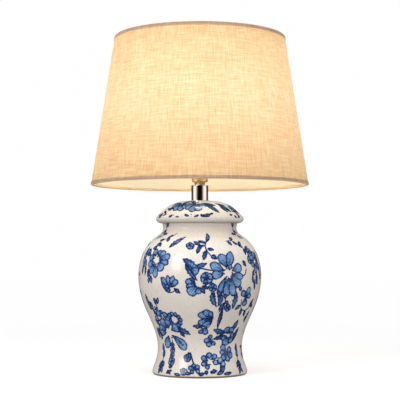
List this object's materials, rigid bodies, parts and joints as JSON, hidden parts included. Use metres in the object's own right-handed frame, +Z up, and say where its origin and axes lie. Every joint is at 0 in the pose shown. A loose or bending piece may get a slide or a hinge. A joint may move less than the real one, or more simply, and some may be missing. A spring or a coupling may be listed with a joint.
{
  "type": "table lamp",
  "caption": "Table lamp: lidded ginger jar in glazed ceramic, metal neck, screw lampholder with turn switch, bulb, and a tapered linen shade clamped by a ring nut.",
  "frame": {"origin": "centre of the felt's underside, on the lamp's axis", "axes": "+Z up along the lamp's axis, -Y towards the front of the lamp, +Y towards the cord's way out"},
  "size_m": [0.3297, 0.3298, 0.5091],
  "materials": {
    "felt": "matt wool felt",
    "glaze": "cream crackle glaze with cobalt flowers",
    "rubber": "matt",
    "zinc_steel": "zinc plated",
    "nickel": "polished nickel",
    "brass": "satin",
    "fibre": "waxed fibre",
    "phenolic": "moulded",
    "white_wire": "white enamel",
    "linen": "woven linen",
    "backing": "white laminate",
    "trim": "woven tape",
    "frosted_glass": "frosted",
    "clear_glass": "clear",
    "black_glass": "vitrified",
    "solder": "solder",
    "tungsten": "drawn"
  },
  "bodies": {
    "lamp": {"foot_felt": "felt", "jar": "glaze", "cord_grommet": "rubber", "lid": "glaze", "base_rubber_washer": "rubber", "base_washer": "zinc_steel", "base_nut": "zinc_steel", "threaded_rod": "zinc_steel", "lid_rubber_washer": "rubber", "lid_washer": "zinc_steel", "lid_nut": "zinc_steel", "neck_tube": "nickel", "socket_cap": "nickel", "set_screw": "zinc_steel", "socket_shell": "nickel", "insulating_liner": "fibre", "switch_body": "phenolic", "holder_body": "phenolic", "body_rivets": "brass", "terminal_screws": "brass", "screw_shell": "brass", "centre_contact": "brass", "socket_skirt": "phenolic"},
    "switch": {"switch_shaft": "phenolic", "switch_knob": "phenolic"},
    "ring_carrier": {"ring_washer": "zinc_steel"},
    "ring": {"ring_nut": "phenolic"},
    "bulb_carrier": {"bulb_tip": "solder"},
    "bulb": {"bulb_insulator": "black_glass", "bulb_cap": "nickel", "bulb_glass": "frosted_glass", "bulb_stem": "clear_glass", "bulb_leads": "zinc_steel", "bulb_filament": "tungsten"},
    "shade": {"fitter_ring": "white_wire", "spokes": "white_wire", "top_wire": "white_wire", "bottom_wire": "white_wire", "shade_backing": "backing", "shade_linen": "linen", "top_trim": "trim", "bottom_trim": "trim"}
  },
  "joints": [
    {"name": "knob_turn", "type": "hinge", "parent": "lamp", "child": "switch", "pos_m": [0.0248, 0, 0.3115], "axis": [1, 0, 0], "continuous": true},
    {"name": "ring_rise", "type": "slide", "parent": "lamp", "child": "ring_carrier", "axis": [0, 0, 1], "range_m": [0, 0.0151]},
    {"name": "ring_turn", "type": "hinge", "parent": "ring_carrier", "child": "ring", "pos_m": [0, 0, 0.3336], "axis": [0, 0, 1], "range_deg": [0, 2160]},
    {"name": "bulb_rise", "type": "slide", "parent": "lamp", "child": "bulb_carrier", "axis": [0, 0, 1], "range_m": [0, 0.02187]},
    {"name": "bulb_turn", "type": "hinge", "parent": "bulb_carrier", "child": "bulb", "pos_m": [0, 0, 0.345], "axis": [0, 0, 1], "range_deg": [0, 2160]},
    {"name": "shade_turn", "type": "hinge", "parent": "lamp", "child": "shade", "pos_m": [0, 0, 0.3288], "axis": [0, 0, 1], "continuous": true}
  ],
  "couplings": [
    {"joint": "ring_rise", "follows": "ring_turn", "m_per_rad": 0.00039789},
    {"joint": "bulb_rise", "follows": "bulb_turn", "m_per_rad": 0.00057757}
  ]
}
